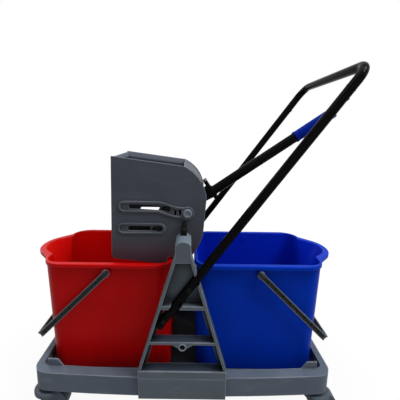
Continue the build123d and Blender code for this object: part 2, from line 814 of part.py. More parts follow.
def make_wringer_walls():
    """Front wall, back cover and floor, bent round just inside the edges of the side plates."""
    shape = offset(wringer_outline(), -wall_inset)
    ring = shape - offset(shape, -wall_thickness)
    split = wringer_chin_z + wringer_chin
    tall = wringer_top - split
    lean = wringer_front + wringer_front_lean
    deep_wall = wall_inset + wall_thickness
    front_zone = outline((wringer_front - bite, split), (wringer_front + deep_wall, split),
                         (lean + deep_wall, wringer_top), (lean - bite, wringer_top))
    reach = wringer_back - wringer_mouth_end
    back_zone = Pos(wringer_mouth_end + reach / 2, split + tall / 2) * Rectangle(reach, tall)
    length = wringer_back - wringer_front
    deep = split - wringer_sump_z
    floor_zone = Pos(wringer_front + length / 2, split - deep / 2) * Rectangle(length, deep)
    front = between_plates(ring & front_zone)
    back = between_plates(ring & back_zone)
    floor = between_plates(ring & floor_zone)
    slot_z = (split + tall / 3, split + tall * 2 / 3)
    for y in drain_columns():
        for z in slot_z:
            plane = Plane(origin=(wringer_front, y, z), x_dir=(0, 1, 0), z_dir=(1, 0, 0))
            slot = SlotOverall(drain_slot_length, drain_slot_width, rotation=90)
            front -= extrude(plane * slot, wringer_front_lean + deep_wall + wall_thickness)
        sump = (wringer_front + wringer_sump_end) / 2
        slot = Pos(sump, y) * Rectangle(drain_slot_length, drain_slot_width)
        floor -= level(slot, wringer_sump_z, split)
    half = arm_spacing / 2 + arm_thickness + lever_slot_gap
    opening = Pos(wringer_back, (lever_slot_low + lever_slot_high) / 2)
    opening = opening * Rectangle(2 * (wringer_back - wringer_heel_x), lever_slot_high - lever_slot_low)
    back -= upright(opening, -half, half)
    return front, back, floor


def lever_sketch(sketch):
    """Turn a sketch drawn along the lever, from the pivot, into the X and Z plane."""
    return Pos(pivot_x, pivot_z) * Rot(0, 0, lever_rest_angle) * sketch


def make_shaft():
    half = plate_inner - shaft_end_gap
    shaft = cross_pin(pivot_x, pivot_z, shaft_diameter, -half, half)
    inner = plate_inner - pivot_bolt_reach - clearance
    bore = cross_pin(pivot_x, pivot_z, pivot_bolt_diameter + clearance, -half, -inner)
    return shaft - bore - mirror(bore, about=Plane.XZ)


def make_lever_bracket():
    inner = arm_spacing / 2
    outer = inner + arm_thickness
    root = arm_root_height / 2
    tip = arm_tip_height / 2
    drop = lever_drop / 2
    arm = outline((0, root), (flange_radius, tip - drop), (flange_radius, -tip - drop), (0, -root))
    arm = upright(lever_sketch(arm), -outer, -inner)
    flange = outline((flange_radius, flange_above), (flange_radius + flange_thickness, flange_above),
                     (flange_radius + flange_thickness, -flange_below), (flange_radius, -flange_below))
    bracket = upright(lever_sketch(flange), -flange_width / 2, flange_width / 2)
    bracket += arm + mirror(arm, about=Plane.XZ)
    bracket += cross_pin(pivot_x, pivot_z, shaft_diameter + 2 * hub_wall, -outer, outer)
    return bracket - cross_pin(pivot_x, pivot_z, shaft_diameter + 2 * slip_fit, -outer, outer)


def lever_bar(radius, start, end):
    """Round bar along the lever's tube."""
    angle = radians(lever_rest_angle)
    along = Vector(cos(angle), 0, sin(angle))
    across = Vector(-sin(angle), 0, cos(angle))
    origin = Vector(pivot_x, 0, pivot_z) + along * start - across * lever_drop
    return extrude(Plane(origin=origin, z_dir=along) * Circle(radius), end - start)


def make_lever_tube():
    start = flange_radius + flange_thickness
    end = lever_length - grip_wall - slip_fit
    radius = lever_tube_diameter / 2
    return lever_bar(radius, start, end) - lever_bar(radius - lever_tube_wall, start, end)


def make_grip():
    bore = lever_tube_diameter / 2 + slip_fit
    radius = bore + grip_wall
    grip = lever_bar(radius, grip_start, lever_length)
    grip = fillet(grip.edges().filter_by(GeomType.CIRCLE).sort_by(Axis.X)[-1], grip_wall)
    grip -= lever_bar(bore, grip_start, lever_length - grip_wall)
    low = grip_start + grip_ring_place
    high = low + grip_ring_width
    return grip - (lever_bar(radius, low, high) - lever_bar(radius - grip_ring_depth, low, high))


def make_crank():
    """Near crank arm and the pin that drives the yoke."""
    pin_z = pivot_z - crank_radius
    hub = shaft_radius + hub_wall
    end = crank_pin_diameter / 2 + crank_end_wall
    web = outline((pivot_x - hub, pivot_z), (pivot_x + hub, pivot_z),
                  (pivot_x + end, pin_z), (pivot_x - end, pin_z))
    arm = web + Pos(pivot_x, pivot_z) * Circle(hub) + Pos(pivot_x, pin_z) * Circle(end)
    arm = upright(arm, -crank_outer, -crank_inner)
    arm -= cross_pin(pivot_x, pivot_z, shaft_diameter + 2 * slip_fit, -crank_outer, -crank_inner)
    arm -= cross_pin(pivot_x, pin_z, crank_pin_diameter + 2 * slip_fit, -crank_outer, -crank_inner)
    pin = cross_pin(pivot_x, pin_z, crank_pin_diameter, -crank_outer, -yoke_inner + bite)
    return arm, pin


def make_yoke():
    """Near yoke: carried by the lower rod, with an upright slot for the crank pin."""
    swing = radians(lever_swing)
    lead = max(crank_radius * sin(swing * step / 20) - press_travel * step / 20 for step in range(21))
    half_slot = crank_pin_diameter / 2 + lead / 2 + clearance
    slot_x = pivot_x - lead / 2
    reach = crank_pin_diameter / 2 + 2 * clearance
    low = pivot_z - crank_radius - reach
    high = pivot_z - crank_radius * cos(swing) + reach
    hub = rod_radius + yoke_wall
    left = slot_x - half_slot - yoke_wall
    right = slot_x + half_slot + yoke_wall
    foot = low - yoke_wall
    crown = high + yoke_wall
    head = outline((left, foot), (right, foot), (right, crown), (left, crown))
    arm = outline((lower_rod_x, lower_rod_z - hub), (left + bite, foot), (left + bite, crown),
                  (lower_rod_x, lower_rod_z + hub))
    yoke = fillet(head.vertices(), yoke_wall) + arm + Pos(lower_rod_x, lower_rod_z) * Circle(hub)
    yoke -= Pos(slot_x, (low + high) / 2) * Rectangle(2 * half_slot, high - low)
    yoke = upright(yoke, -yoke_outer, -yoke_inner)
    return yoke - cross_pin(lower_rod_x, lower_rod_z, rod_diameter + 2 * slip_fit, -yoke_outer, -yoke_inner)


def make_shoe():
    """Near slide shoe, that runs in the lower slot."""
    shape = SlotOverall(shoe_length - 2 * clearance, rod_slot_height - 2 * clearance)
    shape -= Circle(rod_radius + slip_fit)
    return upright(Pos(lower_rod_x, lower_rod_z) * shape, -plate_outer, -plate_outer + shoe_depth)


def jaw_place():
    """Place at rest of a piece drawn upright, with the lower rod at the origin."""
    return Pos(lower_rod_x, 0, lower_rod_z) * Rot(0, press_tilt, 0)


def make_press():
    """Press plate with back ribs and drain slots, drawn about the lower rod."""
    back = press_thickness - press_front
    tall = press_above + press_below
    middle = (press_above - press_below) / 2
    board = Pos(back - press_thickness / 2, middle) * Rectangle(press_thickness, tall)
    plate = upright(board, -press_half, press_half)
    for index in (-1, 0, 1):
        y = index * press_rib_pitch
        rib = outline((back, -press_below), (back + press_rib_depth, press_rib_depth - press_below),
                      (back + press_rib_depth, press_above - press_rib_depth), (back, press_above))
        plate += upright(rib, y - press_rib_thickness / 2, y + press_rib_thickness / 2)
    for y in drain_columns():
        if min(abs(abs(y) - press_rib_pitch), abs(y)) > press_rib_thickness / 2 + drain_slot_width / 2:
            for z in (middle - tall / 4, middle + tall / 4):
                plane = Plane(origin=(-press_front, y, z), x_dir=(0, 1, 0), z_dir=(1, 0, 0))
                slot = SlotOverall(press_slot_length, drain_slot_width, rotation=90)
                plate -= extrude(plane * slot, press_thickness)
    return plate


def make_bracket():
    """Near bracket between the press plate and its two rods, drawn about the lower rod."""
    back = press_thickness - press_front
    eye = rod_radius + bracket_wall
    shape = outline((back, -bracket_flare - eye), (0, -eye), (eye, 0), (eye, rod_spacing),
                    (0, rod_spacing + eye), (back, rod_spacing + bracket_flare + eye))
    shape += Circle(eye) + Pos(0, rod_spacing) * Circle(eye)
    shape -= Circle(rod_radius + clearance / 2) + Pos(0, rod_spacing) * Circle(rod_radius + slip_fit)
    return upright(shape, -press_half, -press_half + bracket_thickness)


def make_rod(x, z):
    reach = plate_outer + rod_reach
    rod = cross_pin(x, z, rod_diameter, -reach, reach)
    return chamfer(rod.edges().filter_by(GeomType.CIRCLE), rod_diameter / 10)


def make_spring():
    """Torsion spring round the shaft, with a leg against the back cover."""
    radius = shaft_radius + spring_wire / 2 + clearance
    plane = Plane(origin=(pivot_x, spring_place, pivot_z), x_dir=(0, 0, -1), z_dir=(0, 1, 0))
    helix = plane * Helix(spring_pitch, spring_pitch * spring_turns, radius)
    lean = wringer_back_lean * (wringer_back_height - pivot_z + radius) / wringer_back_length
    leg_length = wringer_back - lean - wall_inset - wall_thickness - clearance - pivot_x
    start = helix @ 0
    leg = Line(start - (helix % 0) * leg_length, start)
    path = Wire([leg, *helix.edges()])
    return sweep(Plane(origin=path @ 0, z_dir=path % 0) * Circle(spring_wire / 2), path)


def export_all(nodes):
    os.makedirs("parts", exist_ok=True)
    for name, shape in nodes.items():
        export_step(shape, f"parts/{name}.step")


nodes = {"base_tray": make_base()}
castor_pieces = make_castor()
corners = {"front_near": (-1, -1), "front_far": (-1, 1), "rear_near": (1, -1), "rear_far": (1, 1)}
sockets = []
for corner, (side_x, side_y) in corners.items():
    place = Pos(side_x * castor_x, side_y * castor_y)
    sockets.append(place * make_socket())
    for piece, shape in castor_pieces.items():
        nodes[f"castor_{corner}_{piece}"] = place * shape
nodes["castor_sockets"] = Compound(children=sockets)
near_tower = make_tower()
nodes["tower_near"] = near_tower
nodes["tower_far"] = mirror(near_tower, about=Plane.XZ)
tower_screw = make_tower_screw()
screws = [Pos(x, side * tower_screw_y()) * tower_screw for x in tower_screw_places() for side in (-1, 1)]
nodes["tower_screws"] = Compound(children=screws)
leg, bow, near_bolts, joint_screw = make_handle()
nodes["handle_leg_near"] = leg
nodes["handle_leg_far"] = mirror(leg, about=Plane.XZ)
nodes["handle_bow"] = bow
nodes["handle_bolts"] = both_sides(near_bolts)
nodes["handle_joint_screws"] = both_sides(joint_screw)
bucket = make_bucket()
bail = make_bail()
nodes["bucket_blue"] = bucket
nodes["bucket_red"] = mirror(bucket, about=Plane.YZ)
nodes["bail_blue"] = bail
nodes["bail_red"] = mirror(bail, about=Plane.YZ)
near_side = make_side()
nodes["wringer_side_near"] = near_side
nodes["wringer_side_far"] = mirror(near_side, about=Plane.XZ)
front_wall, back_cover, drain_floor = make_wringer_walls()
nodes["wringer_front_wall"] = front_wall
nodes["wringer_back_cover"] = back_cover
nodes["wringer_floor"] = drain_floor
near_post = make_post()
nodes["wringer_post_near"] = near_post
nodes["wringer_post_far"] = mirror(near_post, about=Plane.XZ)
nodes["pivot_bolts"] = both_sides(make_pivot_bolt())
nodes["return_spring"] = make_spring()
crank, crank_pin = make_crank()
nodes["lever_shaft"] = make_shaft()
nodes["lever_bracket"] = make_lever_bracket()
nodes["lever_tube"] = make_lever_tube()
nodes["lever_grip"] = make_grip()
nodes["crank_arms"] = both_sides(crank)
nodes["crank_pins"] = both_sides(crank_pin)
nodes["lower_rod"] = make_rod(lower_rod_x, lower_rod_z)
nodes["slide_yokes"] = both_sides(make_yoke())
nodes["slide_shoes"] = both_sides(make_shoe())
nodes["press_plate"] = jaw_place() * make_press()
nodes["jaw_brackets"] = both_sides(jaw_place() * make_bracket())
nodes["upper_rod"] = jaw_place() * make_rod(0, rod_spacing)
export_all(nodes)
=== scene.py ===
import json
import math
import bpy
from mathutils import Matrix, Vector


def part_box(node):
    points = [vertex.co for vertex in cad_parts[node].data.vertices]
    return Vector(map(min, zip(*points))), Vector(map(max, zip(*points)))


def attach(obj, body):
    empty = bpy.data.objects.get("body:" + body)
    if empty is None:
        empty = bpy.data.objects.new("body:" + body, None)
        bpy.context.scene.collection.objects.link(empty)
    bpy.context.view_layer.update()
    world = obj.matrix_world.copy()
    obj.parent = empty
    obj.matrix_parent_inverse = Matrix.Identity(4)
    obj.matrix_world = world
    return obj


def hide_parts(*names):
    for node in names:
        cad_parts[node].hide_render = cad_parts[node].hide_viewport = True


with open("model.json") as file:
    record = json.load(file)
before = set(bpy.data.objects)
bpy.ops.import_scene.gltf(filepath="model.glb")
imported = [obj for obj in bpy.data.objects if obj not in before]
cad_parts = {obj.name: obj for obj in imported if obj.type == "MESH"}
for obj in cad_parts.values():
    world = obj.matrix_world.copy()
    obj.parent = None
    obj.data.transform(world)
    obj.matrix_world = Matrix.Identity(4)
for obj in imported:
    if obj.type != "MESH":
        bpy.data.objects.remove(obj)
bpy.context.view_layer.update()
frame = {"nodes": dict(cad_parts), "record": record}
nodes = frame["nodes"]
print("trolley loaded,", len(nodes), "pieces")


class Wire:
    # one shader socket; sums on it become Math nodes
    def __init__(self, tree, socket):
        self.tree = tree
        self.socket = socket

    def maths(self, operation, first, second):
        node = self.tree.nodes.new("ShaderNodeMath")
        node.operation = operation
        for index, value in enumerate((first, second)):
            if isinstance(value, Wire):
                self.tree.links.new(value.socket, node.inputs[index])
            else:
                node.inputs[index].default_value = value
        return Wire(self.tree, node.outputs[0])

    def __add__(self, other):
        return self.maths("ADD", self, other)

    def __radd__(self, other):
        return self.maths("ADD", other, self)

    def __sub__(self, other):
        return self.maths("SUBTRACT", self, other)

    def __rsub__(self, other):
        return self.maths("SUBTRACT", other, self)

    def __mul__(self, other):
        return self.maths("MULTIPLY", self, other)

    def __rmul__(self, other):
        return self.maths("MULTIPLY", other, self)

    def atMost(self, other):
        return self.maths("MINIMUM", self, other)


class Finish:
    # a node tree, and the nodes that looks are made from
    def __init__(self, tree):
        self.tree = tree

    def feed(self, socket, value):
        if isinstance(value, Wire):
            self.tree.links.new(value.socket, socket)
        else:
            socket.default_value = value

    def add(self, kind, settings, sockets, output=0):
        node = self.tree.nodes.new(kind)
        for key, value in settings.items():
            setattr(node, key, value)
        for key, value in sockets.items():
            self.feed(node.inputs[key], value)
        return Wire(self.tree, node.outputs[output])

    def vector(self, operation, first, second=(0, 0, 0), output="Vector"):
        return self.add("ShaderNodeVectorMath", {"operation": operation}, {0: first, 1: second}, output)

    def dot(self, first, second):
        return self.vector("DOT_PRODUCT", first, second, "Value")

    def mix(self, share, first, second):
        # sockets 6 and 7 of a Mix node are its two colours, and output 2 the result
        return self.add("ShaderNodeMix", {"data_type": "RGBA"}, {0: share, 6: first, 7: second}, 2)

    def mixNormals(self, share, first, second):
        # sockets 4 and 5 are its two vectors, and output 1 the result
        return self.add("ShaderNodeMix", {"data_type": "VECTOR"}, {0: share, 4: first, 5: second}, 1)

    def rounded(self, radius):
        return self.add("ShaderNodeBevel", {"samples": surface["bevelSamples"]}, {"Radius": radius})

    def noise(self, place, scale, detail):
        return self.add("ShaderNodeTexNoise", {}, {"Vector": place, "Scale": scale, "Detail": detail})

    def step(self, value, low, high):
        return self.add("ShaderNodeMapRange", {}, {"Value": value, "From Min": low, "From Max": high})

    def place(self, stretch=(1, 1, 1)):
        spot = self.add("ShaderNodeTexCoord", {}, {}, "Object")
        return self.add("ShaderNodeMapping", {}, {"Vector": spot, "Scale": stretch})


def newMaterial(name):
    material = bpy.data.materials.new(name)
    material.use_nodes = True
    return material, Finish(material.node_tree)


def tint(red, green, blue):
    # a colour given in 0 to 255 as a screen shows it, taken back through the sRGB curve
    shares = [value / 255 for value in (red, green, blue)]
    linear = [share / 12.92 if share < 0.04045 else ((share + 0.055) / 1.055) ** 2.4 for share in shares]
    return (*linear, 1)


# shared by all looks: sample counts, noise detail and middle, and where each mask starts and is full
surface = {
    "bevelSamples": 6, "paintedShadeSamples": 4, "mottleDetail": 4, "grainDetail": 2, "scuffDetail": 6,
    "noiseMiddle": 0.5, "scuffHeight": 0.4, "facing": (0.01, 0.03), "edge": (0.004, 0.08),
    "mottled": (0.35, 0.65), "scuffed": (0.56, 0.72), "wornAndLitEdges": (0.6, 1.1), "paintedShade": (0.08, 0.6),
}


def inwardFaces(finish, paintedLitFaces):
    # 1 on faces that look towards the given middle, over the given heights
    spot = finish.place()
    aside = finish.vector("SUBTRACT", spot, paintedLitFaces["middle"])
    aside = finish.vector("MULTIPLY", aside, paintedLitFaces["ways"])
    facing = finish.dot(aside, finish.add("ShaderNodeNewGeometry", {}, {}, "Normal"))
    height = finish.dot(spot, paintedLitFaces["up"])
    towards = finish.step(0 - facing, *surface["facing"])
    return towards * finish.step(height, *paintedLitFaces["heights"]) * paintedLitFaces["share"]


def insideBox(finish, box):
    # 1 inside the box, the same on both halves of the object, fading out over its soft margins
    share = box["share"]
    spot = finish.vector("ABSOLUTE", finish.place())
    for axis, (low, high, soft) in enumerate(box["sides"]):
        value = finish.add("ShaderNodeSeparateXYZ", {}, {0: spot}, axis)
        share = share * finish.step(value, low - soft, low) * finish.step(value, high + soft, high)
    return share


def inChannel(finish, channel):
    # 1 along the middle of a tilted strap, the same on both halves of the object
    height = finish.dot(finish.vector("ABSOLUTE", finish.place()), channel["up"])
    low, high = channel["middle"] - channel["half"], channel["middle"] + channel["half"]
    above = finish.step(height, low - channel["soft"], low)
    return above * finish.step(height, high + channel["soft"], high) * channel["share"]


def makeFinish(look):
    material, finish = newMaterial(look["name"])
    shader = finish.tree.nodes["Principled BSDF"]
    spot = finish.place()
    # rounded edges, and how much an edge turns the surface
    normal = finish.rounded(look["edge"])
    turn = finish.dot(normal, finish.add("ShaderNodeNewGeometry", {}, {}, "Normal"))
    edge = finish.step(1 - turn, *surface["edge"])
    # slow mottling, fine grain and long scuffs
    mottle = finish.noise(spot, look["mottle"], surface["mottleDetail"])
    grain = finish.noise(spot, look["grain"], surface["grainDetail"])
    scuff = finish.noise(finish.place(look["scuffWay"]), look["scuff"], surface["scuffDetail"])
    scuffed = finish.step(scuff, *surface["scuffed"])
    colour = finish.mix(finish.step(mottle, *surface["mottled"]), look["colour"], look["shade"])
    colour = finish.mix(scuffed * look["scuffShare"], colour, look["wornAndHighlight"])
    # painted light on faces looking inward, painted shade in boxes, edges partly worn and partly painted with
    # highlight, and painted shade along channels
    if "paintedLitFaces" in look:
        paintedLitFaces = inwardFaces(finish, look["paintedLitFaces"])
        colour = finish.mix(paintedLitFaces, colour, look["paintedLitFaces"]["colour"])
        normal = finish.mixNormals(paintedLitFaces, normal, finish.rounded(look["paintedLitFaces"]["blend"]))
    # painted shade in the given boxes; on the wringer one box also paints the red bucket's reflection
    for paintedShadeBox in look["paintedShadeBoxes"]:
        colour = finish.mix(insideBox(finish, paintedShadeBox), colour, paintedShadeBox["colour"])
    # edges lighter: partly wear, partly a painted highlight where light catches them
    wornAndLitEdges = edge * finish.step(mottle + scuff, *surface["wornAndLitEdges"]) * look["edgeWearAndHighlight"]
    colour = finish.mix(wornAndLitEdges.atMost(1), colour, look["wornAndHighlight"])
    # painted shade along the middle of a strap's channel
    if "channel" in look:
        colour = finish.mix(inChannel(finish, look["channel"]), colour, look["paintedShadeColour"])
    # painted shade in the recesses, from ambient occlusion
    clear = finish.add("ShaderNodeAmbientOcclusion", {"samples": surface["paintedShadeSamples"], "only_local": True},
                       {"Distance": look["reach"]}, "AO")
    paintedShade = finish.step(1 - clear, *surface["paintedShade"]) * look["paintedShade"]
    colour = finish.mix(paintedShade, colour, look["paintedShadeColour"])
    uneven = (mottle - surface["noiseMiddle"]) * look["roughSpread"]
    rough = look["rough"] + uneven + scuffed * look["scuffRough"]
    relief = finish.add("ShaderNodeBump", {}, {
        "Height": grain + scuffed * surface["scuffHeight"], "Strength": look["bump"],
        "Distance": look["depth"], "Normal": normal})
    finish.feed(shader.inputs["Base Color"], colour)
    finish.feed(shader.inputs["Roughness"], rough)
    finish.feed(shader.inputs["Normal"], relief)
    for socket, value in look["fixed"].items():
        shader.inputs[socket].default_value = value
    return material


# where the bails hang, the same on both buckets, and how far they slope
bail = {"x": 0.1995, "z": 0.3874, "tilt": math.radians(44.7)}
bailUp = Vector((math.sin(bail["tilt"]), 0, math.cos(bail["tilt"])))

# moulded plastic: most looks differ from it in a few values
plastic = {
    "edge": 0.0012, "mottle": 9, "grain": 900, "scuff": 14, "scuffWay": (1, 1, 3), "scuffShare": 0.1,
    "edgeWearAndHighlight": 0.5, "rough": 0.5, "roughSpread": 0.16, "scuffRough": 0.1, "bump": 0.15, "depth": 0.0002,
    # painted shade in recesses: how far it looks, how strong it is, and its colour
    "reach": 0.008, "paintedShade": 0.6, "paintedShadeColour": tint(22, 23, 26), "paintedShadeBoxes": (),
    "fixed": {"Specular IOR Level": 0.12},
}
looks = {
    "base_plastic": {
        **plastic, "name": "basePlastic", "edge": 0.0036,
        "colour": tint(92, 101, 114), "shade": tint(86, 95, 108), "wornAndHighlight": tint(158, 166, 176),
        "edgeWearAndHighlight": 0.8, "paintedShade": 0.5, "fixed": {"Specular IOR Level": 0.05},
        # painted shade on the floor between the buckets
        "paintedShadeBoxes": ({"sides": ((0, 0.05, 0.02), (0, 0.16, 0.02), (0.05, 0.3, 0.02)), "share": 0.95,
                    "colour": tint(15, 14, 24)},)},
    "tower_plastic": {
        **plastic, "name": "towerPlastic", "edge": 0.0036,
        "colour": tint(86, 95, 103), "shade": tint(80, 89, 97), "wornAndHighlight": tint(150, 158, 166),
        "edgeWearAndHighlight": 1.0, "reach": 0.035, "paintedShade": 0.95,
        # painted light on the head's top, and painted shade in the channel behind the legs' edges
        "paintedLitFaces": {"middle": (0, 0, 0.44), "ways": (0, 0, -1), "up": (0, 0, 1), "heights": (0.482, 0.487),
                   "share": 0.4, "colour": tint(112, 130, 146), "blend": 0.004},
        "paintedShadeBoxes": ({"sides": ((0, 0.11, 0.003), (0, 0.211, 0.003), (0.135, 0.33, 0.003)), "share": 0.85,
                    "colour": tint(44, 57, 70)},)},
    "wringer_plastic": {
        **plastic, "name": "wringerPlastic", "edge": 0.003,
        "colour": tint(67, 71, 80), "shade": tint(63, 67, 76), "wornAndHighlight": tint(124, 130, 140),
        "scuff": 11, "scuffWay": (1, 1, 4), "scuffShare": 0.06, "edgeWearAndHighlight": 1.0,
        # painted light on the inside of the sloping mouth
        "paintedLitFaces": {"middle": (-0.08, 0, 0.5), "ways": (1, 1, 0), "up": (0.1228, 0, 1),
                   "heights": (0.6424, 0.6474), "share": 0.9, "colour": tint(124, 131, 145), "blend": 0.003},
        # painted shade with a painted red reflection on the outside down in the red bucket, and painted shade
        # on the inside below the mouth
        "paintedShadeBoxes": ({"sides": ((0, 0.25, 0.01), (0.107, 0.13, 0.001), (0.37, 0.425, 0.05)), "share": 0.7,
                    "colour": tint(72, 40, 50)},
                   {"sides": ((0, 0.25, 0.01), (0, 0.1056, 0.0008), (0.38, 0.58, 0.05)), "share": 0.75,
                    "colour": tint(22, 23, 28)})},
    "red_plastic": {
        **plastic, "name": "redPlastic", "edge": 0.0022,
        "colour": tint(184, 8, 10), "shade": tint(177, 7, 9), "wornAndHighlight": tint(204, 22, 22),
        "rough": 0.36, "bump": 0.03, "scuffWay": (1, 1, 0.3), "scuffShare": 0.05,
        "paintedShadeColour": tint(40, 3, 4), "fixed": {"Specular IOR Level": 0.06},
        # painted light on the inner walls
        "paintedLitFaces": {"middle": (-0.19, 0, 0), "ways": (1, 1, 0), "up": (0, 0, 1), "heights": (0.08, 0.12),
                   "share": 0.9, "colour": tint(228, 14, 8), "blend": 0.011}},
    "blue_plastic": {
        **plastic, "name": "bluePlastic", "edge": 0.0022,
        "colour": tint(1, 50, 172), "shade": tint(1, 46, 164), "wornAndHighlight": tint(24, 90, 196),
        "rough": 0.36, "bump": 0.03, "scuffWay": (1, 1, 0.3), "scuffShare": 0.05,
        "paintedShadeColour": tint(1, 8, 34), "fixed": {"Specular IOR Level": 0.03},
        # painted light on the inner walls
        "paintedLitFaces": {"middle": (0.19, 0, 0), "ways": (1, 1, 0), "up": (0, 0, 1), "heights": (0.08, 0.12),
                   "share": 0.9, "colour": tint(4, 34, 182), "blend": 0.011}},
    "bail_plastic": {
        **plastic, "name": "bailPlastic", "edge": 0.0016,
        "colour": tint(74, 82, 86), "shade": tint(66, 74, 78), "wornAndHighlight": tint(134, 140, 140),
        "edgeWearAndHighlight": 1.0, "paintedShade": 0.95, "reach": 0.007,
        # painted shade along the middle of the strap's groove
        "channel": {"up": bailUp, "middle": bailUp.dot((bail["x"], 0, bail["z"])), "half": 0.0044,
                    "soft": 0.0008, "share": 0.85}},
    "grip_plastic": {
        **plastic, "name": "gripPlastic",
        "colour": tint(0, 30, 132), "shade": tint(0, 26, 124), "wornAndHighlight": tint(24, 66, 172),
        "rough": 0.4, "grain": 1400, "bump": 0.03, "edgeWearAndHighlight": 0.3, "scuffShare": 0.04,
        "paintedShadeColour": tint(0, 6, 30), "fixed": {"Specular IOR Level": 0.03}},
    "black_plastic": {
        **plastic, "name": "blackPlastic", "edge": 0.0008,
        "colour": tint(12, 12, 13), "shade": tint(9, 9, 10), "wornAndHighlight": tint(54, 54, 58),
        "rough": 0.42, "paintedShadeColour": tint(6, 6, 6), "fixed": {"Specular IOR Level": 0.06}},
    "black_paint": {
        **plastic, "name": "blackPaint", "edge": 0.0006,
        "colour": tint(11, 11, 12), "shade": tint(7, 7, 8), "wornAndHighlight": tint(22, 21, 20),
        "rough": 0.1, "roughSpread": 0.04, "grain": 60, "bump": 0.004, "scuffShare": 0.08,
        "scuffRough": 0.05, "paintedShadeColour": tint(4, 4, 4), "fixed": {"Specular IOR Level": 0.022}},
    "bolt_plastic": {
        **plastic, "name": "boltPlastic", "edge": 0.0008,
        "colour": tint(118, 125, 136), "shade": tint(110, 117, 128), "wornAndHighlight": tint(150, 156, 164),
        "edgeWearAndHighlight": 0.8},
    "zinc_steel": {
        **plastic, "name": "zincSteel", "edge": 0.0004,
        "colour": tint(190, 192, 196), "shade": tint(168, 171, 176), "wornAndHighlight": tint(216, 217, 219),
        "rough": 0.28, "roughSpread": 0.2, "scuff": 60, "scuffWay": (4, 1, 4), "grain": 700, "bump": 0.06,
        "reach": 0.003, "fixed": {"Metallic": 1.0}},
    "dark_steel": {
        **plastic, "name": "darkSteel", "edge": 0.0004,
        "colour": tint(10, 10, 11), "shade": tint(7, 7, 8), "wornAndHighlight": tint(48, 48, 50),
        "rough": 0.3, "roughSpread": 0.12, "scuff": 50, "grain": 700, "bump": 0.04, "reach": 0.003,
        "fixed": {"Specular IOR Level": 0.06}},
    "spring_steel": {
        **plastic, "name": "springSteel", "edge": 0.0002,
        "colour": tint(104, 106, 110), "shade": tint(86, 88, 92), "wornAndHighlight": tint(160, 161, 163),
        "rough": 0.34, "reach": 0.003, "fixed": {"Metallic": 1.0}},
    "castor_plastic": {
        **plastic, "name": "castorPlastic", "edge": 0.0016,
        "colour": tint(76, 84, 95), "shade": tint(70, 78, 88), "wornAndHighlight": tint(104, 111, 120), "edgeWearAndHighlight": 0.7},
    "tyre_rubber": {
        **plastic, "name": "tyreRubber", "edge": 0.0008,
        "colour": tint(34, 35, 38), "shade": tint(26, 27, 29), "wornAndHighlight": tint(78, 78, 80),
        "rough": 0.78, "grain": 500, "bump": 0.4, "scuffWay": (1, 6, 1), "scuffShare": 0.3},
}
finishes = {slot: makeFinish(look) for slot, look in looks.items()}


def dress(piece, slot):
    piece.data.materials.clear()
    piece.data.materials.append(finishes[slot])


for part in frame["record"]["subparts"]:
    dress(nodes[part["node"]], part["material_slot"])
print("finishes made:", len(finishes))


# degrees up to which faces shade as one, and metres within which points join
shaping = {"smooth": 35, "join": 0.00002}


def beginFresh():
    if bpy.context.mode != "OBJECT":
        bpy.ops.object.mode_set(mode="OBJECT")
    bpy.ops.object.select_all(action="DESELECT")


def turned(steps, sides, ring):
    # a circle on Z, drawn up and in or out through (height, radius) steps, then closed
    beginFresh()
    height, radius = steps[0]
    bpy.ops.mesh.primitive_circle_add(vertices=sides, radius=radius, location=(0, 0, height))
    piece = bpy.context.object
    bpy.ops.object.transform_apply(location=True, rotation=True, scale=True)
    bpy.ops.object.mode_set(mode="EDIT")
    bpy.ops.mesh.select_mode(type="EDGE")
    bpy.ops.mesh.select_all(action="SELECT")
    path = steps[1:] + steps[:1] if ring else steps[1:]
    for nextHeight, nextRadius in path:
        bpy.ops.mesh.extrude_edges_move(TRANSFORM_OT_translate={"value": (0, 0, nextHeight - height)})
        share = nextRadius / radius
        bpy.ops.transform.resize(value=(share, share, 1), center_override=(0, 0, nextHeight))
        height, radius = nextHeight, nextRadius
    if ring:  # the last loop lies on the first one
        bpy.ops.mesh.select_all(action="SELECT")
        bpy.ops.mesh.remove_doubles(threshold=shaping["join"])
    else:
        bpy.ops.mesh.edge_face_add()
    return piece


def finishShape(angle=shaping["smooth"]):
    bpy.ops.mesh.select_all(action="SELECT")
    bpy.ops.mesh.normals_make_consistent(inside=False)
    bpy.ops.object.mode_set(mode="OBJECT")
    bpy.ops.object.shade_smooth_by_angle(angle=math.radians(angle))


def copyTo(piece, name, at, along, spin=0.0):
    # a copy with its own mesh, its Z turned to point along
    beginFresh()
    piece.select_set(True)
    bpy.context.view_layer.objects.active = piece
    bpy.ops.object.duplicate(linked=False)
    copy = bpy.context.object
    copy.name = name
    turn = Vector((0, 0, 1)).rotation_difference(Vector(along)).to_matrix().to_4x4()
    copy.matrix_world = Matrix.Translation(at) @ turn @ Matrix.Rotation(spin, 4, "Z")
    bpy.ops.object.transform_apply(location=True, rotation=True, scale=True)
    return copy


def settle(piece, slot, body):
    dress(piece, slot)
    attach(piece, body)


def dropMaster(piece):
    beginFresh()
    piece.select_set(True)
    bpy.ops.object.delete()


def addTurned(steps, sides, ring, slot, spots):
    # one turned shape, copied to each spot: the copy's name, place, direction and body
    master = turned(steps, sides, ring)
    finishShape()
    for name, at, along, body in spots:
        settle(copyTo(master, name, at, along), slot, body)
    dropMaster(master)
    print("added", len(spots), "like", spots[0][0])


def middleOf(node):
    low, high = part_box(node)
    return (Vector(low) + Vector(high)) / 2


def acrossEnds(node):
    # the node's two ends across the trolley: side, Y and the way out
    low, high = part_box(node)
    return ("near", low[1], (0, -1, 0)), ("far", high[1], (0, 1, 0))


corners = ("front_near", "front_far", "rear_near", "rear_far")

